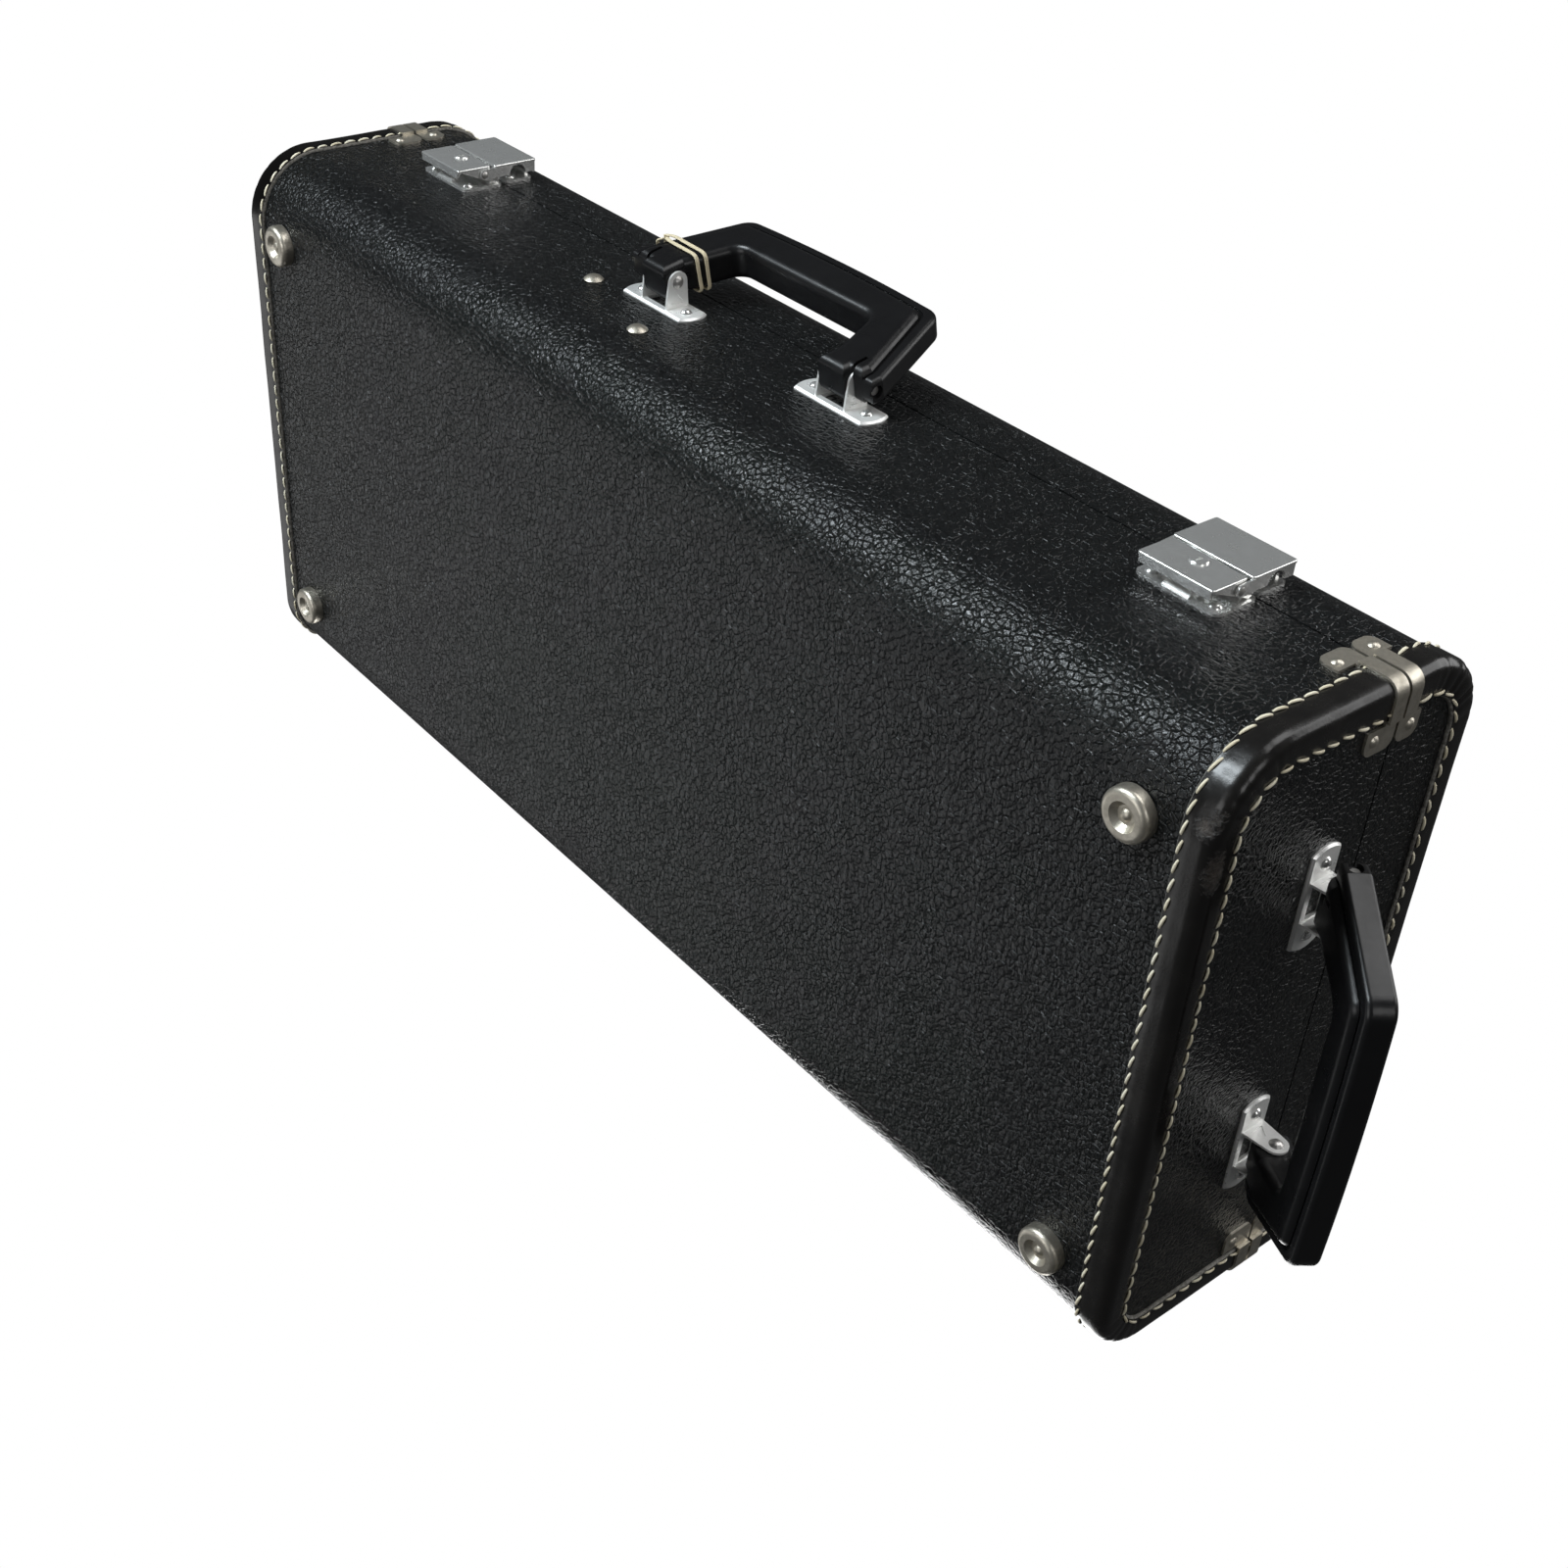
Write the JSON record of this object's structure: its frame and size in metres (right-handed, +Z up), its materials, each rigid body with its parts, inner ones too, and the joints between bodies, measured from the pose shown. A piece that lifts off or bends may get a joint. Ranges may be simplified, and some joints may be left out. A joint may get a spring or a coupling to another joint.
{
  "type": "alto saxophone case",
  "caption": "Hinged hard case for an alto saxophone, with draw latches, folding side and end handles, metal feet, seam clips and a fitted plush interior.",
  "frame": {"origin": "middle of the four feet, on the plane they stand on, with the case lying flat", "axes": "+X along the case towards the end handle, +Y towards the hinge side, +Z up towards the lid"},
  "size_m": [0.691, 0.3113, 0.1405],
  "materials": {
    "cover": "black grained leatherette over bent plywood, semi-gloss",
    "binding": "smooth brownish-black binding, glossy from wear",
    "plush": "short-pile wine red plush",
    "wood": "dark stained wood",
    "chrome": "worn bright chrome on pressed steel",
    "nickel": "dull nickel",
    "steel": "plain steel pin",
    "plastic": "glossy black moulded plastic",
    "elastic": "aged cream elastic"
  },
  "bodies": {
    "base": {"base_shell": "cover", "base_end_left": "cover", "base_end_right": "cover", "base_binding_left": "binding", "base_binding_right": "binding", "base_lining": "plush", "bow_block": "plush", "bell_block": "plush", "body_saddle": "plush", "accessory_box": "plush", "base_rim": "wood", "latch_plate_left": "chrome", "latch_plate_right": "chrome", "main_bracket_left": "chrome", "main_bracket_right": "chrome", "end_bracket_upper": "chrome", "end_bracket_lower": "chrome", "bracket_rivets": "chrome", "latch_plate_rivets": "chrome", "foot_latch_left": "nickel", "foot_latch_right": "nickel", "foot_hinge_left": "nickel", "foot_hinge_right": "nickel", "foot_nails": "nickel", "base_clips": "nickel", "base_clip_rivets": "nickel", "side_rivets": "nickel", "base_hinge_left": "nickel", "base_hinge_right": "nickel", "base_hinge_rivets": "nickel", "hinge_pins": "steel", "lever_pins": "steel", "main_handle_pins": "steel", "end_handle_pins": "steel"},
    "lid": {"lid_shell": "cover", "lid_end_left": "cover", "lid_end_right": "cover", "lid_binding_left": "binding", "lid_binding_right": "binding", "lid_pad": "plush", "lid_clips": "nickel", "lid_clip_rivets": "nickel", "lid_hinge_left": "nickel", "lid_hinge_right": "nickel", "lid_hinge_rivets": "nickel", "strike_left": "chrome", "strike_right": "chrome", "strike_rivets": "chrome"},
    "main_grip": {"main_grip": "plastic", "elastic_band": "elastic"},
    "end_grip": {"end_grip": "plastic"},
    "lever_left": {"latch_lever_left": "chrome", "hasp_pin_left": "steel"},
    "hasp_left": {"latch_hasp_left": "chrome"},
    "lock_left": {"lock_plug_left": "chrome"},
    "lever_right": {"latch_lever_right": "chrome", "hasp_pin_right": "steel"},
    "hasp_right": {"latch_hasp_right": "chrome"},
    "lock_right": {"lock_plug_right": "chrome"}
  },
  "joints": [
    {"name": "lid_hinge", "type": "hinge", "parent": "base", "child": "lid", "pos_m": [0, 0.1412, 0.092], "axis": [-1, 0, 0], "range_deg": [0, 100]},
    {"name": "main_grip_swing", "type": "hinge", "parent": "base", "child": "main_grip", "pos_m": [0, -0.1505, 0.071], "axis": [1, 0, 0], "range_deg": [0, 156]},
    {"name": "end_grip_swing", "type": "hinge", "parent": "base", "child": "end_grip", "pos_m": [0.3285, 0, 0.071], "axis": [0, 1, 0], "range_deg": [-115, 41]},
    {"name": "lever_left_turn", "type": "hinge", "parent": "base", "child": "lever_left", "pos_m": [-0.236, -0.142, 0.0875], "axis": [-1, 0, 0], "range_deg": [0, 70]},
    {"name": "hasp_left_turn", "type": "hinge", "parent": "lever_left", "child": "hasp_left", "pos_m": [-0.236, -0.1445, 0.081], "axis": [1, 0, 0], "range_deg": [0, 98]},
    {"name": "lock_left_turn", "type": "hinge", "parent": "lever_left", "child": "lock_left", "pos_m": [-0.236, -0.147, 0.0794], "axis": [0, 1, 0], "range_deg": [0, 90]},
    {"name": "lever_right_turn", "type": "hinge", "parent": "base", "child": "lever_right", "pos_m": [0.236, -0.142, 0.0875], "axis": [-1, 0, 0], "range_deg": [0, 70]},
    {"name": "hasp_right_turn", "type": "hinge", "parent": "lever_right", "child": "hasp_right", "pos_m": [0.236, -0.1445, 0.081], "axis": [1, 0, 0], "range_deg": [0, 98]},
    {"name": "lock_right_turn", "type": "hinge", "parent": "lever_right", "child": "lock_right", "pos_m": [0.236, -0.147, 0.0794], "axis": [0, 1, 0], "range_deg": [0, 90]}
  ],
  "couplings": [
    {"joint": "hasp_left_turn", "follows": "lever_left_turn", "ratio": 1.4},
    {"joint": "hasp_right_turn", "follows": "lever_right_turn", "ratio": 1.4}
  ]
}
